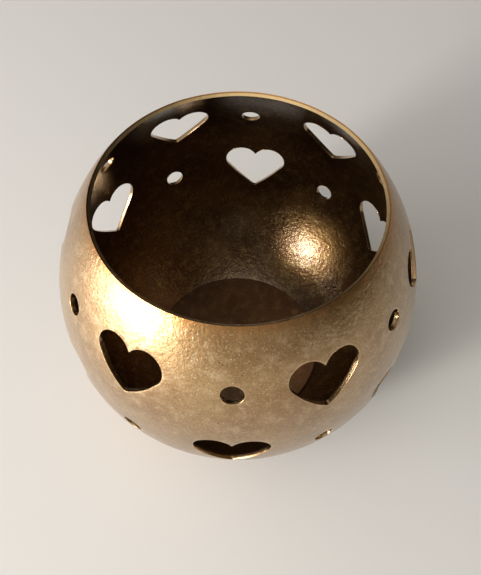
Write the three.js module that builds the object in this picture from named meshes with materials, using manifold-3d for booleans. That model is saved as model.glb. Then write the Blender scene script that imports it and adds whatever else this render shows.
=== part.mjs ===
// Tealight holder: a sheet-metal globe with a flat foot, a wide mouth and pierced hearts and dots.
//
// The globe is spun in two shells that meet edge to edge on a level seam between the two rows, so each shell
// carries one row of six hearts and six dots. The lower shell's foot turns inwards as a narrow flange, and a
// flat floor disc, where the candle stands, rests on that flange.
//
// Units are millimetres. +Z is up, the origin is on the ground plane under the middle of the globe, and the
// front is towards -Y. Angles round the globe are in degrees from the front, positive towards +X.

import * as THREE from 'three';
import { mergeVertices } from 'three/addons/utils/BufferGeometryUtils.js';
import Module from 'manifold-3d';

const manifold = await Module();
manifold.setup();

// ---- driving dimensions -------------------------------------------------------------------------------

const BELLY_RADIUS = 50; // outer radius at the widest level
const BELLY_HEIGHT = 40.5; // height of the widest level
const UPPER_SEMI_AXIS = 58.3; // vertical half axis of the wall's ellipse above the belly
const LOWER_SEMI_AXIS = 47.7; // vertical half axis of the wall's ellipse below the belly
const SHEET = 1.2; // thickness of the sheet metal

const MOUTH_HEIGHT = 80.5; // height at which the wall ends and its rounded lip begins
const SEAM_HEIGHT = 50.3; // level of the joint between the two shells
const FOOT_TURN_HEIGHT = 3.2; // height at which the wall starts to turn under the foot
const FOOT_FLAT_RADIUS = 25.4; // outer radius of the flat ring that the globe stands on
const FLANGE_INNER_RADIUS = 21.5; // hole left inside the foot's inward flange

const FLOOR_THICKNESS = 1.2;
const FLOOR_BOTTOM_RADIUS = 24.5;
const FLOOR_TOP_RADIUS = 27.3; // the disc's edge leans out with the wall around it

const HOLE_PITCH = 60; // degrees from one heart to the next, and from one dot to the next

const HEART_HALF_WIDTH = 9.4;
const HEART_LOBE_RADIUS = 4.9;
const HEART_LOBE_RISE = 2.6; // lobe centres above the heart's own origin
const HEART_TIP_DROP = 9.1; // tip below the heart's own origin
const HEART_FLANK_BULGE = 0.5; // how far each flank swells out from a straight line
const LOWER_HEART_SCALE = 1.05; // the lower row's hearts are a little larger
const DOT_RADIUS = 2.75;

const PUNCH_DEPTH = 8; // length of a punch, set half inside and half outside the wall
const ROUND_STEPS = 72; // facets round the globe
const WALL_STEP_DEGREES = 8; // longest step along the wall's ellipse
const LIP_STEPS = 4;
const FOOT_STEPS = 4;
const LOBE_STEPS = 4; // facets of each curve of a heart
const DOT_STEPS = 6; // facets of each quarter of a dot's circle, about
const WELD_DISTANCE = 1e-5;

// The hand-pierced holes of each shell. A ring of holes has the height of its middle, the angle of its first
// hole, and for each hole, from the first one round by way of +X, how far it stands off its mark: a slip in
// degrees and a rise in millimetres.
const UPPER_HEARTS = {
  outline: () => heartShape(1),
  curveSteps: LOBE_STEPS,
  height: 63.8,
  first: HOLE_PITCH / 2,
  slips: [0.5, -4.5, -3.5, -2, -3, 0],
  rises: [0, -0.5, -0.5, 0, 0, 0],
};
const UPPER_DOTS = {
  outline: () => dotShape(),
  curveSteps: DOT_STEPS,
  height: 65,
  first: 0,
  slips: [2.5, -0.5, 0, -0.5, 1, 3],
  rises: [0, 0, 0, 0.5, 0, 0],
};
const LOWER_HEARTS = {
  outline: () => heartShape(LOWER_HEART_SCALE),
  curveSteps: LOBE_STEPS,
  height: 39.4,
  first: 0,
  slips: [2.5, 0, 0, -2.5, -0.5, 0],
  rises: [-0.5, 0, -0.5, 0.5, 0.5, 0],
};
const LOWER_DOTS = {
  outline: () => dotShape(),
  curveSteps: DOT_STEPS,
  height: 37.3,
  first: HOLE_PITCH / 2,
  slips: [1, 0, -2, 0, 0, 0.5],
  rises: [0, 0, -1, 0.5, 0, 0],
};

// ---- the wall's shape ---------------------------------------------------------------------------------

// The point of the wall at an angle up its ellipse (0 at the belly), some depth below the outer surface.
function wallPoint(angle, depth) {
  const semiAxis = angle > 0 ? UPPER_SEMI_AXIS : LOWER_SEMI_AXIS;
  const radius = (BELLY_RADIUS - depth) * Math.cos(angle);
  const height = BELLY_HEIGHT + (semiAxis - depth) * Math.sin(angle);
  return new THREE.Vector2(radius, height);
}

// The angle up the ellipse at which the wall, some depth below its outer surface, reaches a height.
function wallAngle(height, depth) {
  const semiAxis = height > BELLY_HEIGHT ? UPPER_SEMI_AXIS : LOWER_SEMI_AXIS;
  return Math.asin((height - BELLY_HEIGHT) / (semiAxis - depth));
}

// Points along the wall between two heights, both ends included.
function wallRun(fromHeight, toHeight, depth) {
  const start = wallAngle(fromHeight, depth);
  const end = wallAngle(toHeight, depth);
  const steps = Math.ceil(Math.abs(THREE.MathUtils.radToDeg(end - start)) / WALL_STEP_DEGREES);
  const points = [];
  for (let step = 0; step <= steps; step += 1) {
    points.push(wallPoint(start + ((end - start) * step) / steps, depth));
  }
  return points;
}

// The direction square to the wall at a height, pointing out, as a point of the profile.
function wallNormal(height) {
  const semiAxis = height > BELLY_HEIGHT ? UPPER_SEMI_AXIS : LOWER_SEMI_AXIS;
  const angle = wallAngle(height, 0);
  return new THREE.Vector2(Math.cos(angle) / BELLY_RADIUS, Math.sin(angle) / semiAxis).normalize();
}

// The half circle that rounds the sheet's edge at the mouth, from the outer face over to the inner face.
function lipPoints() {
  const outer = wallPoint(wallAngle(MOUTH_HEIGHT, 0), 0);
  const normal = wallNormal(MOUTH_HEIGHT);
  const along = new THREE.Vector2(-normal.y, normal.x);
  const centre = outer.clone().addScaledVector(normal, -SHEET / 2);
  const points = [];
  for (let step = 0; step <= LIP_STEPS; step += 1) {
    const turn = (Math.PI * step) / LIP_STEPS;
    const point = centre.clone();
    point.addScaledVector(normal, (SHEET / 2) * Math.cos(turn));
    point.addScaledVector(along, (SHEET / 2) * Math.sin(turn));
    points.push(point);
  }
  return points;
}

// The curve that turns the wall under the foot, from the wall to the flat, some depth below the outside.
function footTurn(depth) {
  const start = wallPoint(wallAngle(FOOT_TURN_HEIGHT, depth), depth);
  const normal = wallNormal(FOOT_TURN_HEIGHT);
  const slope = new THREE.Vector2(normal.y, -normal.x);
  const corner = start.clone().addScaledVector(slope, (start.y - depth) / -slope.y);
  const flatRadius = FOOT_FLAT_RADIUS - depth / 2;
  const curve = new THREE.QuadraticBezierCurve(start, corner, new THREE.Vector2(flatRadius, depth));
  return curve.getPoints(FOOT_STEPS);
}

// ---- solids -------------------------------------------------------------------------------------------

// Turns a profile of (radius, height) points about the upright axis.
function revolve(profile) {
  const geometry = new THREE.LatheGeometry(profile, ROUND_STEPS);
  geometry.rotateX(Math.PI / 2);
  return weld(geometry);
}

// Joins a geometry's shared corners so that it is one closed mesh with only positions.
function weld(geometry) {
  geometry.deleteAttribute('normal');
  geometry.deleteAttribute('uv');
  return mergeVertices(geometry, WELD_DISTANCE);
}

function toSolid(geometry) {
  const vertProperties = new Float32Array(geometry.attributes.position.array);
  const triVerts = new Uint32Array(geometry.index.array);
  return new manifold.Manifold(new manifold.Mesh({ numProp: 3, vertProperties, triVerts }));
}

function toGeometry(solid) {
  const mesh = solid.getMesh();
  const geometry = new THREE.BufferGeometry();
  geometry.setAttribute('position', new THREE.BufferAttribute(mesh.vertProperties, 3));
  geometry.setIndex(new THREE.BufferAttribute(mesh.triVerts, 1));
  geometry.computeVertexNormals();
  return geometry;
}

// Stands a punch outline on the wall: its own Y runs up the wall and its depth runs square through it.
function placePunch(shape, curveSegments, height, degrees) {
  const cut = { depth: PUNCH_DEPTH, bevelEnabled: false, curveSegments };
  const geometry = new THREE.ExtrudeGeometry(shape, cut);
  geometry.translate(0, 0, -PUNCH_DEPTH / 2);
  const normal = wallNormal(height);
  const face = wallPoint(wallAngle(height, 0), 0);
  const turn = THREE.MathUtils.degToRad(degrees);
  const outwards = new THREE.Vector3(normal.x * Math.sin(turn), -normal.x * Math.cos(turn), normal.y);
  const sideways = new THREE.Vector3(Math.cos(turn), Math.sin(turn), 0);
  const upwards = new THREE.Vector3().crossVectors(outwards, sideways);
  const place = new THREE.Matrix4().makeBasis(sideways, upwards, outwards);
  place.setPosition(face.x * Math.sin(turn), -face.x * Math.cos(turn), face.y);
  return toSolid(weld(geometry).applyMatrix4(place));
}

// ---- punch outlines -----------------------------------------------------------------------------------

// A heart: two round lobes that meet in a notch, and two slightly swelling flanks that meet in a tip.
function heartShape(scale) {
  const lobeRadius = HEART_LOBE_RADIUS * scale;
  const tip = new THREE.Vector2(0, -HEART_TIP_DROP * scale);
  const lobe = new THREE.Vector2(HEART_HALF_WIDTH - HEART_LOBE_RADIUS, HEART_LOBE_RISE).multiplyScalar(scale);
  const notchTurn = Math.PI - Math.acos(lobe.x / lobeRadius);
  const flankTurn = Math.atan2(lobe.x, lobe.y - tip.y) + Math.asin(lobeRadius / lobe.distanceTo(tip));
  const swell = new THREE.Vector2(Math.cos(flankTurn), -Math.sin(flankTurn));
  const leave = lobe.clone().addScaledVector(swell, lobeRadius);
  const middle = leave.clone().lerp(tip, 1 / 2).addScaledVector(swell, 2 * HEART_FLANK_BULGE * scale);

  const shape = new THREE.Shape();
  shape.moveTo(tip.x, tip.y);
  shape.quadraticCurveTo(middle.x, middle.y, leave.x, leave.y);
  shape.absarc(lobe.x, lobe.y, lobeRadius, -flankTurn, notchTurn, false);
  shape.absarc(-lobe.x, lobe.y, lobeRadius, Math.PI - notchTurn, Math.PI + flankTurn, false);
  shape.quadraticCurveTo(-middle.x, middle.y, tip.x, tip.y);
  return shape;
}

function dotShape() {
  const shape = new THREE.Shape();
  shape.absarc(0, 0, DOT_RADIUS, 0, 2 * Math.PI, false);
  return shape;
}

// Cuts one ring of hearts or dots through a shell.
function pierceRing(shell, ring) {
  let pierced = shell;
  ring.slips.forEach((slip, index) => {
    const height = ring.height + ring.rises[index];
    const degrees = ring.first + index * HOLE_PITCH + slip;
    pierced = pierced.subtract(placePunch(ring.outline(), ring.curveSteps, height, degrees));
  });
  return pierced;
}

// ---- the three pieces ---------------------------------------------------------------------------------

function upperShell() {
  const outside = wallRun(SEAM_HEIGHT, MOUTH_HEIGHT, 0);
  const lip = lipPoints();
  const insideTop = lip[lip.length - 1].y;
  const inside = wallRun(insideTop, SEAM_HEIGHT, SHEET);
  const profile = [...outside, ...lip.slice(1, -1), ...inside, outside[0].clone()];
  const shell = toSolid(revolve(profile));
  return toGeometry(pierceRing(pierceRing(shell, UPPER_HEARTS), UPPER_DOTS));
}

function lowerShell() {
  const outsideTurn = footTurn(0);
  const insideTurn = footTurn(SHEET);
  const profile = [
    new THREE.Vector2(FLANGE_INNER_RADIUS, 0),
    ...outsideTurn.reverse(),
    ...wallRun(FOOT_TURN_HEIGHT, BELLY_HEIGHT, 0).slice(1),
    ...wallRun(BELLY_HEIGHT, SEAM_HEIGHT, 0).slice(1),
    ...wallRun(SEAM_HEIGHT, BELLY_HEIGHT, SHEET),
    ...wallRun(BELLY_HEIGHT, FOOT_TURN_HEIGHT, SHEET).slice(1),
    ...insideTurn.slice(1),
    new THREE.Vector2(FLANGE_INNER_RADIUS, SHEET),
    new THREE.Vector2(FLANGE_INNER_RADIUS, 0),
  ];
  const shell = toSolid(revolve(profile));
  return toGeometry(pierceRing(pierceRing(shell, LOWER_HEARTS), LOWER_DOTS));
}

function floorDisc() {
  const profile = [
    new THREE.Vector2(0, SHEET),
    new THREE.Vector2(FLOOR_BOTTOM_RADIUS, SHEET),
    new THREE.Vector2(FLOOR_TOP_RADIUS, SHEET + FLOOR_THICKNESS),
    new THREE.Vector2(0, SHEET + FLOOR_THICKNESS),
  ];
  const geometry = new THREE.LatheGeometry(profile, ROUND_STEPS);
  geometry.rotateX(Math.PI / 2);
  return geometry;
}

// ---- materials ----------------------------------------------------------------------------------------

function antiqueGold() {
  return new THREE.MeshStandardMaterial({ color: 0xa98e68, roughness: 0.45, metalness: 0.9 });
}

function darkenedFloor() {
  return new THREE.MeshStandardMaterial({ color: 0x4a3222, roughness: 0.5, metalness: 0.9 });
}

// ---- assembly -----------------------------------------------------------------------------------------

function piece(name, geometry, material) {
  const mesh = new THREE.Mesh(geometry, material);
  mesh.name = name;
  return mesh;
}

const holder = new THREE.Group();
holder.add(piece('upper_shell', upperShell(), antiqueGold()));
holder.add(piece('lower_shell', lowerShell(), antiqueGold()));
holder.add(piece('floor_disc', floorDisc(), darkenedFloor()));

export default holder;
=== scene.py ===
"""Looks for a spun sheet-metal tealight holder with pierced hearts and dots.

The globe is two shells brazed edge to edge, with a flat floor disc on the foot's flange. Each shell is made
as the real one is: a flat blank of sheet, pierced round its row of holes, which a Geometry Nodes tree then
spins up along the globe's profile. Lengths in the profile and the blanks are in metres.
"""

from __future__ import annotations

import logging
import math
from dataclasses import dataclass, field
from enum import Enum

import bmesh
import bpy
import numpy as np
from mathutils import Matrix, Vector
from mathutils.geometry import delaunay_2d_cdt

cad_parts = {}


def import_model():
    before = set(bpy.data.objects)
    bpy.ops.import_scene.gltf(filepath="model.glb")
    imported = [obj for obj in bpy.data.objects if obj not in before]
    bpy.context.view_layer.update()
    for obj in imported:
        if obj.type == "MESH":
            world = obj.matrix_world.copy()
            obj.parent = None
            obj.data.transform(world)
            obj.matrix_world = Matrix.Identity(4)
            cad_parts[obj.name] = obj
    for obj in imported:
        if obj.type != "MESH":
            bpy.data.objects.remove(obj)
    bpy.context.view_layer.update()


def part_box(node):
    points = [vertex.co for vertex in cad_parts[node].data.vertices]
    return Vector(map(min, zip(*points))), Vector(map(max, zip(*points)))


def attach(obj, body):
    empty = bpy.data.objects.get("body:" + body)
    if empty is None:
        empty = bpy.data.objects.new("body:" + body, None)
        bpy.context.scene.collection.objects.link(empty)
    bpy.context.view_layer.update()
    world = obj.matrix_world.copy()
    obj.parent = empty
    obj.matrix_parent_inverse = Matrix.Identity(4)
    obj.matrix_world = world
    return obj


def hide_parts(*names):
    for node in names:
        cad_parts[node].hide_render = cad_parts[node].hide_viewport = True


LOG = logging.getLogger("tealight_holder")
Socket = bpy.types.NodeSocket
Tree = bpy.types.NodeTree
Piece = bpy.types.Object
Finish = bpy.types.Material
MM = 0.001
FRONT = -math.pi / 2  # the turn from +X to the front, which is towards -Y


# ---- small helpers ----


def srgb(code: str) -> tuple[float, float, float, float]:
    """Turns an sRGB hex colour, "#rrggbb", into the linear colour that Blender's sockets take."""
    parts = [int(code[i : i + 2], 16) / 255 for i in (1, 3, 5)]
    linear = [c / 12.92 if c <= 0.04045 else ((c + 0.055) / 1.055) ** 2.4 for c in parts]
    return (*linear, 1.0)


class NodeWiring:
    """Adds nodes to one shader or geometry tree and wires them up."""

    def __init__(self, tree: Tree) -> None:
        """Keeps the tree."""
        self.tree = tree

    def add(self, kind: str, values: dict | None = None) -> bpy.types.Node:
        """Adds one node with its settings and its links.

        Args:
            kind: The node's type name.
            values: What each property, or each input by name or number, gets; a socket is linked.

        Returns:
            The new node.
        """
        node = self.tree.nodes.new(kind)
        for name, value in (values or {}).items():
            if isinstance(value, Socket):
                self.tree.links.new(value, node.inputs[name])
            elif isinstance(name, str) and hasattr(node, name):
                setattr(node, name, value)
            else:
                node.inputs[name].default_value = value
        return node

    def out(self, kind: str, values: dict | None = None, output: int | str = 0) -> Socket:
        """Adds one node and gives the output that feeds the next one."""
        return self.add(kind, values).outputs[output]

    def math(self, operation: str, *values: Socket | float) -> Socket:
        """Does a sum on numbers."""
        return self.out("ShaderNodeMath", {"operation": operation, **dict(enumerate(values))})

    def vectors(self, operation: str, first: object, second: object, output: str = "Vector") -> Socket:
        """Does a sum on two vectors, or on a vector and a number."""
        other = "Scale" if operation == "SCALE" else 1
        values = {"operation": operation, 0: first, other: second}
        return self.out("ShaderNodeVectorMath", values, output)

    def height(self, place: Socket) -> Socket:
        """The Z of a place or a direction."""
        return self.out("ShaderNodeSeparateXYZ", {0: place}, "Z")

    def attribute(self, name: str) -> Socket:
        """Reads a number that the mesh keeps at each point, for a material."""
        return self.out("ShaderNodeAttribute", {"attribute_name": name}, "Fac")

    def noise(
        self, place: Socket, size_mm: float, detail: float, rough: float = 0.5, seed: Socket | None = None
    ) -> bpy.types.bpy_prop_collection:
        """Adds a noise whose features are about size_mm wide; a seed picks its pattern."""
        values = {} if seed is None else {"noise_dimensions": "4D", "W": seed}
        values |= {"Vector": place, "Scale": 1 / (size_mm * MM), "Detail": detail, "Roughness": rough}
        return self.add("ShaderNodeTexNoise", values).outputs

    def ramp(
        self,
        value: Socket,
        start: float,
        end: float | Socket,
        low: float = 0.0,
        high: float = 1.0,
        kind: str = "SMOOTHSTEP",
    ) -> Socket:
        """Carries the range from start to end over to the range from low to high, and holds it there."""
        values = {"interpolation_type": kind, "Value": value, "From Min": start, "From Max": end}
        return self.out("ShaderNodeMapRange", values | {"To Min": low, "To Max": high})

    def blend(self, amount: Socket, first: Socket | str, second: str) -> Socket:
        """Mixes a second colour over the first by an amount."""
        under = srgb(first) if isinstance(first, str) else first
        return self.out("ShaderNodeMix", {"data_type": "RGBA", 0: amount, 6: under, 7: srgb(second)}, 2)


def link_object(name: str, data: bpy.types.ID | None) -> Piece:
    """Makes an object for some data and links it to the scene."""
    made = bpy.data.objects.new(name, data)
    bpy.context.scene.collection.objects.link(made)
    return made


def grown(helper: Piece, name: str, tree: Tree, values: dict[str, object]) -> Piece:
    """Runs a Geometry Nodes tree on a helper and turns the result into a plain mesh object.

    Args:
        helper: The object that the tree starts from, which is then removed.
        name: The name of the finished piece.
        tree: The tree, whose interface names the inputs.
        values: What each named input gets, set by its socket's identifier.

    Returns:
        An object at the origin with a plain mesh.
    """
    modifier = helper.modifiers.new(name, "NODES")
    modifier.node_group = tree
    for item in tree.interface.items_tree:
        if item.item_type == "SOCKET" and item.in_out == "INPUT" and item.name in values:
            modifier[item.identifier] = values[item.name]
    depsgraph = bpy.context.evaluated_depsgraph_get()
    mesh = bpy.data.meshes.new_from_object(helper.evaluated_get(depsgraph), depsgraph=depsgraph)
    mesh.name = name
    bpy.data.objects.remove(helper)
    return link_object(name, mesh)


# ---- finishes ----

# Widths in millimetres of the marks that all the finishes share.
BLOTCH_MM = 14  # where the lacquer lies thick or thin
MOTTLE_MM = 3.2
SPARKLE_MM = 0.45  # flecks and pits
TOOTH_MM = 0.3  # the tooth of the blasting

# The part of a noise's range over which each tone comes in.
BODY_RANGE = (0.35, 0.65)
LIGHT_RANGE = (0.45, 0.75)
PIT_RANGE = (0.40, 0.16)
BURNISH_RANGE = (0.1, 0.6)
WORN_RANGE = (0.72, 1.15)
FLECK_START = 0.66  # where the fewest flecks begin
FLECK_REACH = 0.2  # how much sooner the most flecks begin
FLECK_END = 0.80

WORN_RAGGEDNESS = 0.6  # how much the mottle frays the edge of the wear
HANDLED_SMOOTHING = -0.1  # what handling does to the roughness
HANDLED_COAT_LOSS = 0.7  # the share of the lacquer that handling and soot take away
PEBBLE_WIDTH = 1.8  # the soft pebbles, in grains
PEBBLE_SHARE = 0.25
PEBBLE_SOFTNESS = 0.8
TOOTH_SHARE = 0.25


class Face(Enum):
    """Which side of the sheet a face belongs to; the value is its number in the mesh."""

    OUTSIDE = 0
    CUT = 1
    INSIDE = 2


@dataclass(frozen=True)
class SpunMetal:
    """A lacquered or smoked finish on spun sheet, mottled in blotches, grains and sparkling flecks.

    The metal itself gives the gloss, so it is fully metallic with its reflections tinted by the lacquer. The
    grain is the orange peel left by a thick, hand-rubbed lacquer over sandblasted sheet.
    """

    name: str
    shade: str  # the dark tone in the hollows of the mottle
    body: str  # the tone of most of the surface
    light: str  # the rubbed, lighter tone
    fleck: str  # the small flecks that catch the light
    pit_and_shade: str  # the bottoms of the grain, where smoke and polish stay; also the tone of the painted shade lower down
    worn_and_highlight: str  # bare metal where edges are rubbed; on the mouth's lip also a painted highlight
    burnished: str  # the browner band that handling leaves round the mouth
    roughness: float
    roughness_spread: float
    grain_mm: float  # width of one grain of the orange peel
    grain_depth_mm: float
    coat: float
    coat_roughness: float
    fleck_share: float = 0.3  # how much of the surface shows flecks
    painted_low_shade: float = 0.0  # painted shade: how far the finish turns to the pit's tone from the upper to the lower height
    painted_shade_top_mm: float = 64.0
    painted_shade_low_mm: float = -30.0
    coat_ior: float = 1.5

    def colour(self, wiring: NodeWiring, spot: Socket, mottle: Socket) -> Socket:
        """Lays the finish's tones over each other.

        Args:
            wiring: The material's tree.
            spot: The place on the object.
            mottle: The noise of the rubbed mottle.

        Returns:
            The colour.
        """
        sparkle = wiring.noise(spot, SPARKLE_MM, 1)["Fac"]
        blotch = wiring.ramp(wiring.noise(spot, BLOTCH_MM, 3)["Fac"], *BODY_RANGE)
        tone = wiring.blend(blotch, self.shade, self.body)
        tone = wiring.blend(wiring.ramp(mottle, *LIGHT_RANGE), tone, self.light)
        tone = wiring.blend(wiring.ramp(sparkle, *PIT_RANGE), tone, self.pit_and_shade)
        fleck_start = FLECK_START - FLECK_REACH * self.fleck_share
        tone = wiring.blend(wiring.ramp(sparkle, fleck_start, FLECK_END), tone, self.fleck)
        # Painted shade: the tone turns towards the pit's tone lower down, outside towards the foot and inside
        # in the corner above the floor disc.
        top, low = self.painted_shade_top_mm * MM, self.painted_shade_low_mm * MM
        shaded_low = wiring.ramp(wiring.height(spot), top, low, high=self.painted_low_shade, kind="LINEAR")
        tone = wiring.blend(shaded_low, tone, self.pit_and_shade)
        smeared = wiring.math("MULTIPLY", mottle, wiring.attribute("mouth"))
        tone = wiring.blend(wiring.ramp(smeared, *BURNISH_RANGE), tone, self.burnished)
        # Worn colour over rubbed edges; on the mouth's lip it is partly a painted highlight.
        ragged = wiring.math("MULTIPLY_ADD", mottle, WORN_RAGGEDNESS, wiring.attribute("edge_wear"))
        return wiring.blend(wiring.ramp(ragged, *WORN_RANGE), tone, self.worn_and_highlight)

    def relief(self, wiring: NodeWiring, spot: Socket) -> Socket:
        """Bumps the surface: grains, soft pebbles between them and the fine tooth of the blasting."""
        pebble = wiring.out(
            "ShaderNodeTexVoronoi",
            {
                "feature": "SMOOTH_F1",
                "Vector": spot,
                "Scale": 1 / (PEBBLE_WIDTH * self.grain_mm * MM),
                "Smoothness": PEBBLE_SOFTNESS,
            },
            "Distance",
        )
        grain = wiring.noise(spot, self.grain_mm, 2)["Fac"]
        pebbled = wiring.math("MULTIPLY_ADD", pebble, PEBBLE_SHARE, grain)
        tooth = wiring.noise(spot, TOOTH_MM, 2)["Fac"]
        raised = wiring.math("MULTIPLY_ADD", tooth, TOOTH_SHARE, pebbled)
        values = {"Strength": 1.0, "Distance": self.grain_depth_mm * MM, "Height": raised}
        return wiring.out("ShaderNodeBump", values, "Normal")

    def material(self) -> Finish:
        """Builds the finish as a node material on object coordinates."""
        made = bpy.data.materials.new(self.name)
        made.use_nodes = True
        made.node_tree.nodes.clear()
        wiring = NodeWiring(made.node_tree)
        spot = wiring.out("ShaderNodeTexCoord", output="Object")
        mottle = wiring.noise(spot, MOTTLE_MM, 4, 0.6)["Fac"]
        handled = wiring.attribute("mouth")
        least, most = self.roughness - self.roughness_spread, self.roughness + self.roughness_spread
        uneven = wiring.ramp(mottle, 0.0, 1.0, least, most, kind="LINEAR")
        normal = self.relief(wiring, spot)
        coat_loss = HANDLED_COAT_LOSS * self.coat
        surface = wiring.out(
            "ShaderNodeBsdfPrincipled",
            {
                "Base Color": self.colour(wiring, spot, mottle),
                "Metallic": 1.0,
                "Roughness": wiring.math("MULTIPLY_ADD", handled, HANDLED_SMOOTHING, uneven),
                "Normal": normal,
                "Coat Weight": wiring.math("MULTIPLY_ADD", handled, -coat_loss, self.coat),
                "Coat Roughness": self.coat_roughness,
                "Coat IOR": self.coat_ior,
                "Coat Normal": normal,
            },
        )
        wiring.add("ShaderNodeOutputMaterial", {"Surface": surface})
        return made


# Antique gold lacquer rubbed over sandblasted, spun steel: a tan gold with a fine, glittering grain and a
# browner, burnished band round the mouth. It is painted darker towards the foot, a painted shade, and the
# lip's crest and inner side are painted bright: rubbed metal at the crest and a painted highlight inside.
ANTIQUE_GOLD = SpunMetal(
    name="antique_gold_lacquer", shade="#9F7842", body="#B08C57", light="#C3A478", fleck="#DAC49C",
    pit_and_shade="#5A3E1C", worn_and_highlight="#DDBD88", burnished="#AE7A40",
    roughness=0.4, roughness_spread=0.07, grain_mm=1.0, grain_depth_mm=0.11, fleck_share=0.35,
    painted_low_shade=1.0, coat=1.0, coat_roughness=0.3, coat_ior=1.6,
)

# The same sheet inside, smoked dark brown under a glossy lacquer: nearly black where it sees no light, with
# olive-gold grains, and a painted shade in the corner just above the floor disc.
SMOKED_BROWN = SpunMetal(
    name="smoked_brown_lacquer", shade="#5E4020", body="#74522C", light="#8E7244", fleck="#B99E66",
    pit_and_shade="#2C160A", worn_and_highlight="#8A6236", burnished="#2E1A0C",
    roughness=0.34, roughness_spread=0.08, grain_mm=1.1, grain_depth_mm=0.1, fleck_share=0.45,
    painted_low_shade=0.45, painted_shade_top_mm=9.0, painted_shade_low_mm=1.0, coat=0.8, coat_roughness=0.18, coat_ior=1.5,
)

# The sheet's cut edge, where the punch left bright metal under a thin lacquer.
CUT_SHEET = SpunMetal(
    name="cut_sheet_edge", shade="#86683E", body="#967548", light="#AE8D5C", fleck="#E2CDA4",
    pit_and_shade="#6A4C28", worn_and_highlight="#A8875A", burnished="#8A6236",
    roughness=0.24, roughness_spread=0.05, grain_mm=0.6, grain_depth_mm=0.02, coat=1.0,
    coat_roughness=0.15,
)

# Flat sheet under the candle, smoked a redder brown and rubbed smoother than the wall.
FLOOR_BROWN = SpunMetal(
    name="smoked_floor_lacquer", shade="#5A3D22", body="#70502E", light="#886642", fleck="#94784C",
    pit_and_shade="#3A2412", worn_and_highlight="#6B5232", burnished="#5A3B22",
    roughness=0.42, roughness_spread=0.06, grain_mm=0.8, grain_depth_mm=0.05, fleck_share=0.05, coat=0.8,
    coat_roughness=0.35,
)


# ---- the globe's profile ----


@dataclass
class GlobeProfile:
    """The outer line of the globe from the foot's flange up to the lip, as a run of (radius, height)."""

    lip_top: float  # height of the top of the mouth's rounded lip
    belly_radius: float = 50 * MM
    belly_height: float = 40.5 * MM
    upper_semi_axis: float = 58.3 * MM
    lower_semi_axis: float = 47.7 * MM
    sheet: float = 1.2 * MM
    flange_inner_radius: float = 21.5 * MM
    foot_flat_radius: float = 25.4 * MM
    foot_turn_height: float = 3.2 * MM
    step: float = 0.35 * MM
    turn_points: int = 13  # points along the foot's turn
    points: np.ndarray = field(init=False)
    lengths: np.ndarray = field(init=False)

    def __post_init__(self) -> None:
        """Lays the flange, the foot's turn and the two ellipses end to end."""
        flat_count = round((self.foot_flat_radius - self.flange_inner_radius) / self.step)
        flat = [(self.flange_inner_radius + self.step * i, 0.0) for i in range(flat_count)]
        top = self.wall_angle(self.wall_end())
        bottom = self.wall_angle(self.foot_turn_height)
        wall_count = round((top - bottom) * self.belly_radius / self.step)
        wall = [self.wall_point(bottom + (top - bottom) * i / wall_count) for i in range(wall_count + 1)]
        self.points = np.array(flat + self.foot_turn(wall[0], wall[1]) + wall)
        runs = np.hypot(*np.diff(self.points, axis=0).T)
        self.lengths = np.concatenate([[0.0], np.cumsum(runs)])

    def wall_end(self) -> float:
        """The height at which the wall ends, so that the half-round lip on it tops out at lip_top."""
        height = self.lip_top
        for _ in range(20):  # each round brings it closer
            angle = self.wall_angle(height)
            lean = math.atan2(math.sin(angle) / self.upper_semi_axis, math.cos(angle) / self.belly_radius)
            height = self.lip_top - self.sheet / 2 * (1 - math.sin(lean))
        return height

    def wall_angle(self, height: float) -> float:
        """The angle up the ellipse, from the belly, at which the wall reaches a height."""
        rise = height - self.belly_height
        return math.asin(rise / (self.upper_semi_axis if rise > 0 else self.lower_semi_axis))

    def wall_point(self, angle: float) -> tuple[float, float]:
        """The (radius, height) of the wall at an angle up the ellipse."""
        axis = self.upper_semi_axis if angle > 0 else self.lower_semi_axis
        return (self.belly_radius * math.cos(angle), self.belly_height + axis * math.sin(angle))

    def foot_turn(self, start: tuple[float, float], onwards: tuple[float, float]) -> list:
        """The curve that brings the flat foot round into the wall, given its two lowest points."""
        slope = (onwards[0] - start[0]) / (onwards[1] - start[1])
        corner = np.array([start[0] - slope * start[1], 0.0])
        foot = np.array([self.foot_flat_radius, 0.0])
        wall = np.array(start)
        shares = np.linspace(0, 1, self.turn_points + 1)[:-1]
        return [tuple((1 - t) ** 2 * foot + 2 * t * (1 - t) * corner + t * t * wall) for t in shares]

    def length_at(self, height: float) -> float:
        """The length along the profile at which the wall reaches a height."""
        rising = self.points[:, 1] > 0
        return float(np.interp(height, self.points[rising, 1], self.lengths[rising]))

    def radius_at(self, height: float) -> float:
        """The wall's outer radius at a height."""
        return self.wall_point(self.wall_angle(height))[0]

    def curve_object(self) -> Piece:
        """Draws the profile as a curve in the plane through the axis, for the spinning tree to follow."""
        curve = bpy.data.curves.new("globe_profile", "CURVE")
        curve.dimensions = "3D"
        spline = curve.splines.new("POLY")
        spline.points.add(len(self.points) - 1)
        for point, (radius, height) in zip(spline.points, self.points):
            point.co = (radius, 0.0, height, 1.0)
        return link_object("globe_profile", curve)


# ---- pierced outlines ----


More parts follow.
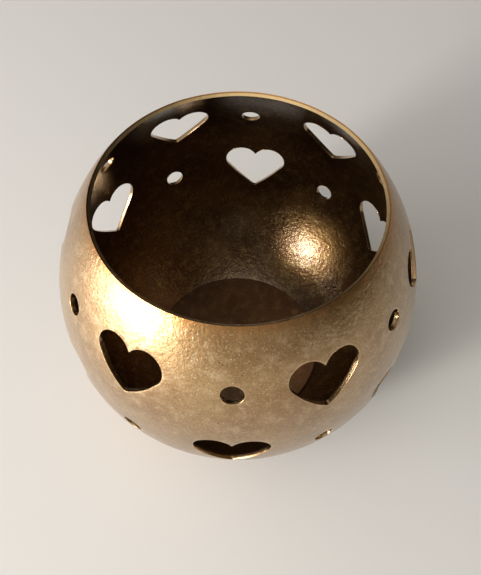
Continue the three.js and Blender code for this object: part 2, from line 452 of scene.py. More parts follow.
@dataclass(frozen=True)
class HeartPunch:
    """A heart punch: two round lobes, a notch between them and two slightly swelling flanks to the tip."""

    half_width: float = 9.4 * MM
    lobe_radius: float = 4.9 * MM
    lobe_rise: float = 2.6 * MM
    tip_drop: float = 9.1 * MM
    flank_bulge: float = 0.5 * MM
    flank_points: int = 40
    lobe_points: int = 60
    scale: float = 1.0

    def outline(self) -> np.ndarray:
        """The heart's points, anticlockwise from the tip, before its corners are eased."""
        lobe = np.array([self.half_width - self.lobe_radius, self.lobe_rise])
        tip = np.array([0.0, -self.tip_drop])
        turn = math.atan2(lobe[0], lobe[1] - tip[1]) + math.asin(
            self.lobe_radius / np.linalg.norm(lobe - tip)
        )
        notch = math.pi - math.acos(lobe[0] / self.lobe_radius)
        out = np.array([math.cos(turn), -math.sin(turn)])
        leave = lobe + self.lobe_radius * out
        middle = (leave + tip) / 2 + 2 * self.flank_bulge * out
        shares = np.linspace(0, 1, self.flank_points)[:, None]
        flank = (1 - shares) ** 2 * tip + 2 * shares * (1 - shares) * middle + shares**2 * leave
        sweep = np.linspace(-turn, notch, self.lobe_points)[1:, None]
        arc = lobe + self.lobe_radius * np.hstack([np.cos(sweep), np.sin(sweep)])
        right = np.vstack([flank, arc])
        left = right[::-1][1:-1] * (-1, 1)
        return self.scale * np.vstack([right, left])


@dataclass(frozen=True)
class DotPunch:
    """A plain round punch."""

    radius: float = 2.75 * MM
    points: int = 120

    def outline(self) -> np.ndarray:
        """The circle, anticlockwise."""
        turn = np.linspace(0, 2 * math.pi, self.points, endpoint=False)[:, None]
        return self.radius * np.hstack([np.cos(turn), np.sin(turn)])


def eased(outline: np.ndarray, step: float, passes: int) -> np.ndarray:
    """Spaces a closed outline's points evenly and draws each towards its neighbours in some passes."""
    closed = np.vstack([outline, outline[:1]])
    lengths = np.concatenate([[0.0], np.cumsum(np.hypot(*np.diff(closed, axis=0).T))])
    marks = np.linspace(0, lengths[-1], round(lengths[-1] / step), endpoint=False)
    even = np.column_stack([np.interp(marks, lengths, closed[:, i]) for i in (0, 1)])
    for _ in range(passes):
        even = even / 2 + (np.roll(even, 1, 0) + np.roll(even, -1, 0)) / 4
    return even


def outline_object(name: str, outline: np.ndarray) -> Piece:
    """Draws a closed outline as a mesh of edges in the XY plane."""
    count = len(outline)
    mesh = bpy.data.meshes.new(name)
    mesh.from_pydata([(x, y, 0.0) for x, y in outline], [(i, (i + 1) % count) for i in range(count)], [])
    return link_object(name, mesh)


# ---- Geometry Nodes trees ----

WAVER_MM = 7  # how far apart a cut outline wavers
DENT_MM = 16  # how wide the spun wall's hollows and swellings are


def new_tree(name: str, inputs: dict[str, str]) -> tuple[NodeWiring, dict]:
    """Starts a Geometry Nodes tree with some named inputs, and gives its wiring and what it is given."""
    tree = bpy.data.node_groups.new(name, "GeometryNodeTree")
    tree.interface.new_socket("Geometry", in_out="OUTPUT", socket_type="NodeSocketGeometry")
    for label, kind in {"Geometry": "Geometry", **inputs}.items():
        tree.interface.new_socket(label, in_out="INPUT", socket_type="NodeSocket" + kind)
    wiring = NodeWiring(tree)
    sockets = wiring.add("NodeGroupInput").outputs
    return wiring, {socket.name: socket for socket in sockets if socket.name}


def row_tree() -> Tree:
    """The tree that stands a heart or a dot outline on each mark of a row.

    Marks with the attribute "dot" at 1 get a dot and the others a heart. Hand piercing leaves each outline
    a little off true, which a fixed noise on its place gives.
    """
    kinds = {"Heart": "Object", "Dot": "Object", "Stretch": "Float", "Waver": "Float", "Seed": "Float"}
    wiring, given = new_tree("pierced_row", kinds | {"Finish": "Material"})
    dot = {"data_type": "FLOAT", "Name": "dot"}
    is_dot = wiring.out("GeometryNodeInputNamedAttribute", dot, "Attribute")
    size = wiring.out("ShaderNodeCombineXYZ", {"X": given["Stretch"], "Y": 1.0, "Z": 1.0})
    joined = wiring.add("GeometryNodeJoinGeometry")
    for punch, test in (("Heart", "LESS_THAN"), ("Dot", "GREATER_THAN")):
        values = {
            "Points": given["Geometry"],
            "Selection": wiring.out("FunctionNodeCompare", {"operation": test, 0: is_dot, 1: 0.5}),
            "Instance": wiring.out("GeometryNodeObjectInfo", {"Object": given[punch]}, "Geometry"),
            "Scale": size,
        }
        row = wiring.out("GeometryNodeInstanceOnPoints", values)
        wiring.tree.links.new(row, joined.inputs[0])
    real = wiring.out("GeometryNodeRealizeInstances", {"Geometry": joined.outputs[0]})
    place = wiring.out("GeometryNodeInputPosition")
    noise = wiring.noise(place, WAVER_MM, 1.0, seed=given["Seed"])["Color"]
    centred = wiring.vectors("SUBTRACT", noise, (0.5, 0.5, 0.5))
    flat = wiring.vectors("MULTIPLY", centred, (1.0, 1.0, 0.0))
    offset = wiring.vectors("SCALE", flat, given["Waver"])
    moved = wiring.out("GeometryNodeSetPosition", {"Geometry": real, "Offset": offset})
    done = wiring.out("GeometryNodeSetMaterial", {"Geometry": moved, "Material": given["Finish"]})
    wiring.add("NodeGroupOutput", {"Geometry": done})
    return wiring.tree


def spinning_tree() -> Tree:
    """The tree that spins a flat, pierced blank up into a shell along the globe's profile.

    In the blank, X is the way round at the belly, Y is the length along the profile and Z is the height
    over the outer face. A slow, fixed noise leaves the spun wall slightly uneven above the foot.
    """
    numbers = {label: "Float" for label in ("Belly Radius", "Unevenness", "Foot Height", "Seed")}
    finishes = {face.name.title() + " Finish": "Material" for face in Face}
    wiring, given = new_tree("spun_shell", {"Profile": "Object"} | numbers | finishes)
    place = wiring.out("GeometryNodeInputPosition")
    blank = wiring.add("ShaderNodeSeparateXYZ", {0: place}).outputs
    profile = wiring.out("GeometryNodeObjectInfo", {"Object": given["Profile"]}, "Geometry")
    wall = wiring.add(
        "GeometryNodeSampleCurve",
        {"mode": "LENGTH", "use_all_curves": True, "Curves": profile, "Length": blank["Y"]},
    ).outputs
    turn = wiring.math("DIVIDE", blank["X"], given["Belly Radius"])
    facing = wiring.math("ADD", turn, FRONT)

    def spun(vector: Socket) -> Socket:
        """Turns a vector of the profile's plane round to its place on the globe."""
        values = {"rotation_type": "Z_AXIS", "Vector": vector, "Angle": facing}
        return wiring.out("ShaderNodeVectorRotate", values)

    on_wall = spun(wall["Position"])
    square = spun(wiring.vectors("CROSS_PRODUCT", (0.0, 1.0, 0.0), wall["Tangent"]))
    noise = wiring.noise(on_wall, DENT_MM, 2.0, seed=given["Seed"])["Fac"]
    clear = wiring.ramp(wiring.height(on_wall), 0.0, given["Foot Height"])
    dent = wiring.math("MULTIPLY", wiring.math("SUBTRACT", noise, 0.5), clear)
    push = wiring.math("MULTIPLY_ADD", dent, given["Unevenness"], blank["Z"])
    offset = wiring.vectors("SCALE", square, push)
    placed = {"Geometry": given["Geometry"], "Position": on_wall, "Offset": offset}
    moved = wiring.out("GeometryNodeSetPosition", placed)
    shell = wiring.out("GeometryNodeRealizeInstances", {"Geometry": moved})
    side = {"data_type": "INT", "Name": "side"}
    side = wiring.out("GeometryNodeInputNamedAttribute", side, "Attribute")
    for face in Face:
        same_side = {"data_type": "INT", "operation": "EQUAL", 2: side, 3: face.value}
        here = wiring.out("FunctionNodeCompare", same_side)
        finish = given[face.name.title() + " Finish"]
        values = {"Geometry": shell, "Selection": here, "Material": finish}
        shell = wiring.out("GeometryNodeSetMaterial", values)
    wiring.add("NodeGroupOutput", {"Geometry": shell})
    return wiring.tree


# ---- the pierced blank ----

MERGE_MM = 1e-5  # points nearer than this are one
EASED_TURNS = (30, 60, 90)  # degrees round a cut edge's easing at which a ring of points stands
BURR_CREST = 0.04 * MM  # how far from the cut the burr is highest
BURR_FOOT = 0.14 * MM
BURR_FOOT_RISE = 0.8  # how much of the burr is left there
LIP_TURNS = range(20, 180, 20)  # degrees round the half-round lip, from the outside in
LIP_HIGHLIGHT_FROM = 80  # from here inwards the lip takes the full worn colour: rubbed bare at the crest, and a painted highlight on its inner side
LIP_OUTER_WEAR = 0.2


@dataclass
class PiercedBlank:
    """A flat blank of sheet with holes, with its ends joined, ready to be spun.

    Its outer face lies at Z 0 and its inner face one sheet thickness below. Every cut edge is eased, with a
    faint burr where the punch came out on the inside.
    """

    girth: float  # length of the blank, once round the globe at the belly
    start: float  # where the blank's ends meet, as a length round the belly
    low: float  # lower edge, as a length along the profile
    high: float  # upper edge
    sheet: float
    holes: list[np.ndarray]
    round_low: bool
    round_high: bool
    spacing: float = 0.9 * MM
    ease: float = 0.16 * MM
    burr: float = 0.05 * MM
    clearance: float = 0.6  # how far the net keeps off a hole, in spacings
    wear_reach: float = 0.4 * MM  # how far from a hole the wear has faded to a third
    wear_limit: float = 4 * MM  # beyond this there is none
    mouth_reach: float = 4 * MM  # how far down from the mouth the handling has faded to a third

    def rows(self) -> tuple[int, int]:
        """How many steps the blank's net has round and up."""
        return round(self.girth / self.spacing), round((self.high - self.low) / self.spacing)

    def net(self) -> tuple[np.ndarray, np.ndarray]:
        """The net's points: the border's (bottom row, top row, right end, left end) and the inner ones."""
        across, up = self.rows()
        xs = self.start + np.linspace(0, self.girth, across + 1)
        ys = np.linspace(self.low, self.high, up + 1)
        rows = [paired(xs, self.low), paired(xs, self.high)]
        ends = [paired(xs[-1], ys[1:-1]), paired(xs[0], ys[1:-1])]
        half = (xs[1] - xs[0]) / 2
        shifts = [(half if number % 2 else 0.0) - half / 2 for number in range(up - 1)]
        inner = np.vstack([paired(xs[1:-1] + shift, y) for shift, y in zip(shifts, ys[1:-1])])
        keep = np.ones(len(inner), bool)
        for hole in self.holes:
            margin = self.ease + self.clearance * self.spacing
            near = np.all((inner > hole.min(0) - margin) & (inner < hole.max(0) + margin), axis=1)
            keep[near] = (gaps_to(inner[near], hole) > margin) & ~inside(inner[near], hole)
        return np.vstack(rows + ends), inner[keep]

    def build(self, name: str) -> Piece:
        """Builds the blank as an object with the attributes "side", "edge_wear" and "mouth"."""
        across, up = self.rows()
        border, inner = self.net()
        loops = [widened(hole, self.ease) for hole in self.holes]
        points = np.vstack([border, inner] + loops)
        firsts = np.cumsum([len(border) + len(inner)] + [len(loop) for loop in loops])
        edges = []
        for row in (0, across + 1):
            edges += [(row + i, row + i + 1) for i in range(across)]
        for first, loop in zip(firsts, loops):
            count = len(loop)
            edges += [(int(first) + i, int(first) + (i + 1) % count) for i in range(count)]
        scaled = [Vector(point) for point in points / MM]
        found = delaunay_2d_cdt(scaled, edges, [], 0, MERGE_MM)
        given = {source: new for new, sources in enumerate(found[3]) for source in sources}
        flat = np.array([tuple(v) for v in found[0]]) * MM

        # The right side's points are the left side's, once the blank is rolled up.
        same = np.arange(len(flat))
        same[given[across]] = given[0]
        same[given[2 * across + 1]] = given[across + 1]
        side_start = 2 * (across + 1)
        for i in range(up - 1):
            same[given[side_start + i]] = given[side_start + up - 1 + i]

        triangles = np.array([face for face in found[2] if len(face) == 3])
        centres = flat[triangles].mean(1)
        keep = np.ones(len(triangles), bool)
        for loop in loops:
            near = np.all((centres > loop.min(0)) & (centres < loop.max(0)), axis=1)
            keep[np.flatnonzero(near)[inside(centres[near], loop)]] = False
        triangles = same[triangles[keep]]

        wear = np.zeros(len(flat))
        for hole in self.holes:
            reach = self.wear_limit
            near = np.all((flat > hole.min(0) - reach) & (flat < hole.max(0) + reach), axis=1)
            rubbed = np.exp(-gaps_to(flat[near], hole) / self.wear_reach)
            wear[near] = np.maximum(wear[near], rubbed)
        mouth = np.zeros(len(flat))
        if self.round_high:
            mouth = np.exp(-np.abs(flat[:, 1] - self.high) / self.mouth_reach)

        sheet = SheetMesh(flat, triangles, wear, mouth, self.sheet)
        for first, loop, hole in zip(firsts, loops, self.holes):
            ring = [given[int(first) + i] for i in range(len(loop))]
            sheet.join_hole(ring, hole, self.ease, self.burr)
        bottom_ring = [int(same[given[i]]) for i in range(across)]
        top_ring = [int(same[given[across + 1 + i]]) for i in range(across)]
        sheet.join_edge(bottom_ring[::-1], -1.0, self.round_low)
        sheet.join_edge(top_ring, 1.0, self.round_high)
        return sheet.finish(name)


def inside(spots: np.ndarray, outline: np.ndarray) -> np.ndarray:
    """Tells which spots lie inside a closed outline."""
    ahead = np.roll(outline, -1, 0)
    above = (outline[None, :, 1] > spots[:, None, 1]) != (ahead[None, :, 1] > spots[:, None, 1])
    rise = ahead[:, 1] - outline[:, 1]
    rise[rise == 0] = 1e-12
    crossing = outline[:, 0] + (spots[:, None, 1] - outline[:, 1]) * (ahead - outline)[:, 0] / rise
    return (above & (spots[:, None, 0] < crossing)).sum(1) % 2 == 1


def paired(xs: np.ndarray | float, ys: np.ndarray | float) -> np.ndarray:
    """Points of a row or a column, from their X and Y."""
    return np.column_stack(np.broadcast_arrays(xs, ys))


def gaps_to(spots: np.ndarray, outline: np.ndarray) -> np.ndarray:
    """The distance from each spot to an outline's nearest point."""
    return np.sqrt(((spots[:, None] - outline[None]) ** 2).sum(2)).min(1)


def widened(outline: np.ndarray, distance: float) -> np.ndarray:
    """Moves each point of an anticlockwise outline outwards by a distance."""
    along = np.roll(outline, -1, 0) - np.roll(outline, 1, 0)
    along /= np.linalg.norm(along, axis=1)[:, None]
    return outline + distance * np.column_stack([along[:, 1], -along[:, 0]])


class SheetMesh:
    """The blank's two faces and the edges that join them, gathered point by point."""

    def __init__(
        self, flat: np.ndarray, triangles: np.ndarray, wear: np.ndarray, mouth: np.ndarray, sheet: float
    ) -> None:
        """Starts with the net as the outer face and, one sheet thickness under it, as the inner face."""
        self.sheet = sheet
        used = np.unique(triangles)
        self.number = {int(v): i for i, v in enumerate(used)}
        self.under = len(used)
        self.points = [(x, y, 0.0) for x, y in flat[used]] + [(x, y, -sheet) for x, y in flat[used]]
        self.wear = list(wear[used]) * 2
        self.mouth = list(mouth[used]) * 2
        renumber = np.zeros(len(flat), int)
        renumber[used] = np.arange(self.under)
        outer = renumber[triangles]
        self.faces = [tuple(face) for face in outer] + [tuple(face[::-1]) for face in outer + self.under]
        self.sides = [Face.OUTSIDE.value] * len(outer) + [Face.INSIDE.value] * len(outer)

    def bridge(self, rings: list[list[int]], side: Face) -> None:
        """Joins rings of equal length, outer face first, by bands that belong to one side."""
        for upper, lower in zip(rings, rings[1:]):
            count = len(upper)
            for i in range(count):
                ahead = (i + 1) % count
                self.faces.append((upper[i], upper[ahead], lower[ahead], lower[i]))
                self.sides.append(side.value)

    def add_ring(self, places: np.ndarray, depth: float, wear: float, mouth: float = 0.0) -> list[int]:
        """Adds a ring of points at one depth below the outer face and returns their numbers."""
        first = len(self.points)
        self.points += [(x, y, -depth) for x, y in places]
        self.wear += [wear] * len(places)
        self.mouth += [mouth] * len(places)
        return list(range(first, first + len(places)))

    def join_hole(self, ring: list[int], hole: np.ndarray, ease: float, burr: float) -> None:
        """Joins the two faces through one hole, with eased edges and a faint burr inside.

        Args:
            ring: The net's points round the hole.
            hole: The punch's own outline.
            ease: How far the edge is eased.
            burr: How far the burr stands proud of the inner face.
        """
        outer = [self.number[v] for v in ring]
        inner = [v + self.under for v in outer]
        rings = [outer]
        for turn in EASED_TURNS:
            lean = math.radians(turn)
            places = widened(hole, ease * (1 - math.sin(lean)))
            rings.append(self.add_ring(places, ease * (1 - math.cos(lean)), 1.0))
        rings.append(self.add_ring(hole, self.sheet - 2 * burr, 1.0))
        rings.append(self.add_ring(widened(hole, BURR_CREST), self.sheet + burr, 1.0))
        rings.append(self.add_ring(widened(hole, BURR_FOOT), self.sheet + BURR_FOOT_RISE * burr, 0.8))
        rings.append(inner)
        self.bridge(rings, Face.CUT)

    def join_edge(self, ring: list[int], way: float, rounded: bool) -> None:
        """Joins the two faces along the blank's lower or upper edge.

        Args:
            ring: The net's points along the edge.
            way: 1 for the upper edge, -1 for the lower edge.
            rounded: Whether the edge is rounded over; the seam's edges are square.
        """
        outer = [self.number[v] for v in ring]
        inner = [v + self.under for v in outer]
        rings = [outer]
        if rounded:
            half = self.sheet / 2
            places = np.array([self.points[v][:2] for v in outer])
            for turn in LIP_TURNS:
                lean = math.radians(turn)
                shifted = places + (0.0, way * half * math.sin(lean))
                # The crest and inner half of the lip take the full worn colour: rubbed metal at the crest, a
                # painted highlight on the inner side.
                wear = 1.0 if turn >= LIP_HIGHLIGHT_FROM else LIP_OUTER_WEAR
                rings.append(self.add_ring(shifted, half * (1 - math.cos(lean)), wear, 1.0))
        rings.append(inner)
        self.bridge(rings, Face.OUTSIDE)

    def finish(self, name: str) -> Piece:
        """Makes the object, smooth all over, with the attributes of its faces and points."""
        mesh = bpy.data.meshes.new(name)
        mesh.from_pydata(self.points, [], self.faces)
        for label, kind, domain, values in (
            ("side", "INT", "FACE", self.sides),
            ("edge_wear", "FLOAT", "POINT", self.wear),
            ("mouth", "FLOAT", "POINT", self.mouth),
        ):
            mesh.attributes.new(label, kind, domain).data.foreach_set("value", values)
        mesh.shade_smooth()
        return link_object(name, mesh)


# ---- sub-assemblies ----


@dataclass(frozen=True)
class HoleRing:
    """Six hand-pierced holes of one kind, evenly spaced but for the slip of the hand at each.

    Both lists run from the first hole round by way of +X.
    """

    height: float
    first: float  # degrees from the front
    slips: tuple[float, ...]  # degrees off the mark
    rises: tuple[float, ...]  # millimetres off the mark
    pitch: float = 60.0

    def marks(self, profile: GlobeProfile, blank_end: float) -> list[tuple[float, float, float]]:
        """The middles of the holes on the flat blank, which begins at blank_end degrees."""
        marks = []
        for number, (slip, rise) in enumerate(zip(self.slips, self.rises)):
            turn = (self.first + number * self.pitch + slip - blank_end) % 360 + blank_end
            along = math.radians(turn) * profile.belly_radius
            marks.append((along, profile.length_at(self.height + rise * MM), 0.0))
        return marks


@dataclass
class PiercedShell:
    """One spun shell of the globe, with its ring of hearts and its ring of dots."""

    node: str
    profile: GlobeProfile
    low: float  # the shell's lower edge, as a length along the profile
    high: float
    hearts: HoleRing
    dots: HoleRing
    heart_scale: float
    blank_end: float  # degrees from the front at which the blank's ends meet, clear of the holes
    round_low: bool
    round_high: bool
    seed: float  # picks how the outlines waver
    outline_step: float = 0.3 * MM
    waver: float = 0.35 * MM
    unevenness: float = 0.25 * MM
    even_foot: float = 12 * MM  # height from which the wall is as uneven as it gets
    wall_seed: float = 3.0  # the same for both shells, so that their walls meet at the seam
    sharp_angle: float = 60.0

    def marks(self) -> Piece:
        """The row's marks as points, with the attribute "dot" at 1 for a dot."""
        hearts = self.hearts.marks(self.profile, self.blank_end)
        dots = self.dots.marks(self.profile, self.blank_end)
        mesh = bpy.data.meshes.new("row_marks")
        mesh.from_pydata(hearts + dots, [], [])
        kinds = [0.0] * len(hearts) + [1.0] * len(dots)
        mesh.attributes.new("dot", "FLOAT", "POINT").data.foreach_set("value", kinds)
        return link_object("row_marks", mesh)

    def hole_outlines(self, tree: Tree, finish: Finish) -> list[np.ndarray]:
        """Runs the row's tree and reads the outlines back, each one closed and anticlockwise.

        Args:
            tree: The tree that stands outlines on marks.
            finish: The finish of the cut edges.

        Returns:
            The outlines in the flat blank.
        """
        punch = HeartPunch(scale=self.heart_scale)
        heart = outline_object("heart_punch", eased(punch.outline(), self.outline_step, 3))
        dot = outline_object("dot_punch", eased(DotPunch().outline(), self.outline_step, 0))
        values = {
            "Heart": heart,
            "Dot": dot,
            "Stretch": self.profile.belly_radius / self.profile.radius_at(self.hearts.height),
            "Waver": self.waver,
            "Seed": self.seed,
            "Finish": finish,
        }
        row = grown(self.marks(), "row_outlines", tree, values)
        outlines = read_loops(row.data)
        for helper in (row, heart, dot):
            bpy.data.objects.remove(helper)
        return outlines

    def build(self, trees: ShellTrees, finishes: dict[Face, Finish]) -> Piece:
        """Args:
            trees: The two Geometry Nodes trees and the profile's curve.
            finishes: The finish of each side of the sheet.

        Returns:
            The finished shell.
        """
        blank = PiercedBlank(
            girth=2 * math.pi * self.profile.belly_radius,
            start=math.radians(self.blank_end) * self.profile.belly_radius,
            low=self.low,
            high=self.high,
            sheet=self.profile.sheet,
            holes=self.hole_outlines(trees.row, finishes[Face.CUT]),
            round_low=self.round_low,
            round_high=self.round_high,
        ).build(self.node + "_blank")
        values = {
            "Profile": trees.profile_curve,
            "Belly Radius": self.profile.belly_radius,
            "Unevenness": self.unevenness,
            "Foot Height": self.even_foot,
            "Seed": self.wall_seed,
        }
        values |= {face.name.title() + " Finish": finishes[face] for face in Face}
        shell = grown(blank, self.node + "_wall", trees.spin, values)
        shell.data.set_sharp_from_angle(angle=math.radians(self.sharp_angle))
        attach(shell, "root")
        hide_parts(self.node)
        return shell


def read_loops(mesh: bpy.types.Mesh) -> list[np.ndarray]:
    """Reads a mesh of closed edge loops, each one anticlockwise in the XY plane."""
    neighbours: dict[int, list[int]] = {}
    for edge in mesh.edges:
        a, b = edge.vertices
        neighbours.setdefault(a, []).append(b)
        neighbours.setdefault(b, []).append(a)
    loops, seen = [], set()
    for start in sorted(neighbours):
        if start in seen:
            continue
        loop, last, here = [], None, start
        while here not in seen:
            seen.add(here)
            loop.append(here)
            last, here = here, next((n for n in neighbours[here] if n != last and n not in seen), start)
        points = np.array([mesh.vertices[v].co[:2] for v in loop])
        ahead = np.roll(points, -1, 0)
        area = (points[:, 0] * ahead[:, 1] - ahead[:, 0] * points[:, 1]).sum()
        loops.append(points if area > 0 else points[::-1])
    return loops


@dataclass
class ShellTrees:
    """The Geometry Nodes trees and the curve that both shells share."""

    row: Tree
    spin: Tree
    profile_curve: Piece


@dataclass
class FloorDisc:
    """The flat disc under the candle, turned on a lathe with faint rings and an eased rim."""

    node: str
    bottom_radius: float = 24.5 * MM
    ring_pitch: float = 1.1 * MM
    ring_depth: float = 0.02 * MM
    ease: float = 0.25 * MM
    ease_middle: float = 0.07 * MM  # how far the easing's middle stands in from the corner
    under_chamfer: float = 0.1 * MM
    steps: int = 160
    under_rings: int = 5
    sharp_angle: float = 40.0

    def section(self) -> list[tuple[float, float]]:
        """Half of the disc's section, from the middle of its underside round to the middle of its top."""
        low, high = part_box(self.node)
        top_radius = high.x
        flat_radius = top_radius - 2 * self.ease
        rim = [
            (self.bottom_radius - self.ease, low.z),
            (self.bottom_radius, low.z + self.under_chamfer),
            (top_radius, high.z - self.ease),
            (top_radius - self.ease_middle, high.z - self.ease_middle),
            (top_radius - self.ease, high.z),
        ]
        count = round(flat_radius / (self.ring_pitch / 4))  # four rings of points to each turning ring
        top = []
        for i in range(count, 0, -1):
            radius = flat_radius * i / count
            dip = self.ring_depth * (0.5 - 0.5 * math.cos(2 * math.pi * radius / self.ring_pitch))
            top.append((radius, high.z - dip))
        inner = range(1, self.under_rings + 1)
        return [(self.bottom_radius * i / (self.under_rings + 1), low.z) for i in inner] + rim + top

    def build(self, finish: Finish) -> Piece:
        low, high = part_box(self.node)
        made = bmesh.new()
        turns = [2 * math.pi * i / self.steps for i in range(self.steps)]
        rings = [
            [made.verts.new((radius * math.cos(turn), radius * math.sin(turn), height)) for turn in turns]
            for radius, height in self.section()
        ]
        steps = [(i, (i + 1) % self.steps) for i in range(self.steps)]
        for lower, upper in zip(rings, rings[1:]):
            for i, ahead in steps:
                made.faces.new((lower[i], lower[ahead], upper[ahead], upper[i]))
        under, over = made.verts.new((0.0, 0.0, low.z)), made.verts.new((0.0, 0.0, high.z))
        for i, ahead in steps:
            made.faces.new((rings[0][i], under, rings[0][ahead]))
            made.faces.new((rings[-1][i], rings[-1][ahead], over))
        mesh = bpy.data.meshes.new("floor_disc_plate")
        made.to_mesh(mesh)
        made.free()
        mesh.shade_smooth()
        mesh.set_sharp_from_angle(angle=math.radians(self.sharp_angle))
        mesh.materials.append(finish)
        disc = link_object("floor_disc_plate", mesh)
        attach(disc, "root")
        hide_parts(self.node)
        return disc


# ---- the studio ----


@dataclass(frozen=True)
class SoftLight:
    """One soft studio light, placed by its direction from the globe."""

    name: str
    turn: float  # degrees from the front, positive towards +X
    rise: float  # degrees above the ground
    distance: float
    width: float
    height: float
    power: float
    colour: str

    def build(self, aim: Vector) -> None:
        """Adds the light, facing the aim."""
        data = bpy.data.lights.new(self.name, "AREA")
        data.shape = "RECTANGLE"
        data.size = self.width
        data.size_y = self.height
        data.energy = self.power
        data.color = srgb(self.colour)[:3]
        light = link_object(self.name, data)
        turn, rise = math.radians(self.turn), math.radians(self.rise)
        way = Vector((math.sin(turn) * math.cos(rise), -math.cos(turn) * math.cos(rise), math.sin(rise)))
        light.location = aim + way * self.distance
        light.rotation_euler = way.to_track_quat("Z", "Y").to_euler()


LIGHTS = (
    SoftLight(
        "window_pane", turn=-50, rise=14, distance=1.0, width=0.17, height=0.17, power=6.8, colour="#FFFFF4"
    ),
    SoftLight(
        "window", turn=-60, rise=9, distance=0.9, width=0.75, height=0.36, power=9.0, colour="#F8F4FF"
    ),
    SoftLight(
        "overhead", turn=-20, rise=75, distance=1.2, width=0.9, height=0.9, power=1.4, colour="#FFFFF4"
    ),
)


@dataclass
class Studio:
    """The floor, the lights and the camera."""

    belly: Vector
    floor_half: float = 3.0
    floor_tone: str = "#F0EDE7"
    floor_roughness: float = 0.7
    window_turn: float = -52.0  # degrees from the front at which the window stands
    dim_side: float = 0.015  # strength of the room's light opposite the window
    bright_side: float = 0.66
    side_range: tuple[float, float] = (-0.6, 0.8)  # cosines to the window between which the light grows
    ceiling: float = 0.15  # how much more the room gives from straight above
    ceiling_range: tuple[float, float] = (0.45, 0.9)  # heights of a direction between which that grows
    far_tint: str = "#F4E9D6"
    window_tint: str = "#F0F0F4"
    camera_place: tuple[float, float, float] = (6.5, -99.6, 195.2)  # millimetres
    camera_target: tuple[float, float, float] = (0.8, -0.8, 40.0)  # millimetres
    camera_roll: float = 1.0  # degrees
    lens_mm: float = 39.2
    sensor_mm: float = 36.0

    def build(self) -> None:
        """Lays the floor, hangs the lights and sets the camera."""
        self.camera()
        self.floor()
        for light in LIGHTS:
            light.build(self.belly)
        self.surroundings()
        bpy.context.scene.view_settings.view_transform = "Standard"

    def surroundings(self) -> None:
        """Fills the room with a pale light that fades from the window's side to the far side."""
        world = bpy.data.worlds.new("studio")
        world.use_nodes = True
        wiring = NodeWiring(world.node_tree)
        way = wiring.out("ShaderNodeTexCoord", output="Generated")
        turn = math.radians(self.window_turn)
        towards_window = (math.sin(turn), -math.cos(turn), 0.0)
        share = wiring.vectors("DOT_PRODUCT", way, towards_window, "Value")
        level = wiring.ramp(share, *self.side_range, self.dim_side, self.bright_side)
        above = wiring.ramp(wiring.height(way), *self.ceiling_range, high=self.ceiling)
        near_window = wiring.ramp(share, -1.0, 1.0, kind="LINEAR")
        background = world.node_tree.nodes["Background"].inputs
        tint = wiring.blend(near_window, self.far_tint, self.window_tint)
        wiring.tree.links.new(tint, background["Color"])
        wiring.tree.links.new(wiring.math("ADD", level, above), background["Strength"])
        bpy.context.scene.world = world

    def camera(self) -> None:
        """Sets the camera above the front, looking down into the mouth."""
        data = bpy.data.cameras.new("camera")
        data.lens = self.lens_mm
        data.sensor_width = self.sensor_mm
        data.clip_start = 0.01
        place = Vector(self.camera_place) * MM
        forward = (Vector(self.camera_target) * MM - place).normalized()
        right = forward.cross(Vector((0, 0, 1))).normalized()
        tilt = Matrix.Rotation(-math.radians(self.camera_roll), 3, forward)
        turned = Matrix((tilt @ right, tilt @ right.cross(forward), -forward)).transposed()
        camera = link_object("camera", data)
        camera.matrix_world = Matrix.Translation(place) @ turned.to_4x4()
        bpy.context.scene.camera = camera

    def floor(self) -> None:
        """Lays a plain pale floor."""
        half = self.floor_half
        corners = [(-half, -half, 0), (half, -half, 0), (half, half, 0), (-half, half, 0)]
        mesh = bpy.data.meshes.new("floor")
        mesh.from_pydata(corners, [], [(0, 1, 2, 3)])
        paint = bpy.data.materials.new("matt_white_floor")
        paint.use_nodes = True
        coat = paint.node_tree.nodes["Principled BSDF"].inputs
        coat["Base Color"].default_value = srgb(self.floor_tone)
        coat["Roughness"].default_value = self.floor_roughness
        mesh.materials.append(paint)
        link_object("floor", mesh)


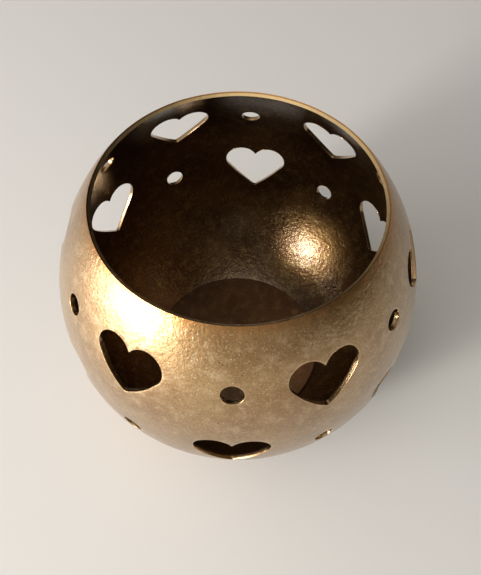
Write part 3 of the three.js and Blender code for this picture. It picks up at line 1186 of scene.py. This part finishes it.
# ---- building it ----


def main() -> None:
    """Builds the shells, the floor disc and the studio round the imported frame."""
    logging.basicConfig(level=logging.INFO, format="%(name)s: %(message)s")
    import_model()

    seam_height, lip_top = (corner.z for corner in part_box("upper_shell"))
    profile = GlobeProfile(lip_top)
    trees = ShellTrees(row_tree(), spinning_tree(), profile.curve_object())
    finishes = {
        Face.OUTSIDE: ANTIQUE_GOLD.material(),
        Face.CUT: CUT_SHEET.material(),
        Face.INSIDE: SMOKED_BROWN.material(),
    }
    seam = profile.length_at(seam_height)
    upper = PiercedShell(
        node="upper_shell",
        profile=profile,
        low=seam,
        high=float(profile.lengths[-1]),
        hearts=HoleRing(
            height=63.8 * MM, first=30.0, slips=(0.5, -4.5, -3.5, -2, -3, 0), rises=(0, -0.5, -0.5, 0, 0, 0)
        ),
        dots=HoleRing(
            height=65.0 * MM, first=0.0, slips=(2.5, -0.5, 0, -0.5, 1, 3), rises=(0, 0, 0, 0.5, 0, 0)
        ),
        heart_scale=1.0,
        blank_end=12.0,
        round_low=False,
        round_high=True,
        seed=1.0,
    )
    lower = PiercedShell(
        node="lower_shell",
        profile=profile,
        low=0.0,
        high=seam,
        hearts=HoleRing(
            height=39.4 * MM, first=0.0, slips=(2.5, 0, 0, -2.5, -0.5, 0), rises=(-0.5, 0, -0.5, 0.5, 0.5, 0)
        ),
        dots=HoleRing(height=37.3 * MM, first=30.0, slips=(1, 0, -2, 0, 0, 0.5), rises=(0, 0, -1, 0.5, 0, 0)),
        heart_scale=1.05,
        blank_end=21.0,
        round_low=True,
        round_high=False,
        seed=2.0,
    )
    for shell in (upper, lower):
        made = shell.build(trees, finishes)
        LOG.info("%s has %d faces", made.name, len(made.data.polygons))
    bpy.data.objects.remove(trees.profile_curve)
    disc = FloorDisc("floor_disc").build(FLOOR_BROWN.material())
    LOG.info("%s has %d faces", disc.name, len(disc.data.polygons))

    Studio(belly=Vector((0.0, 0.0, profile.belly_height))).build()


if __name__ == "__main__":
    main()
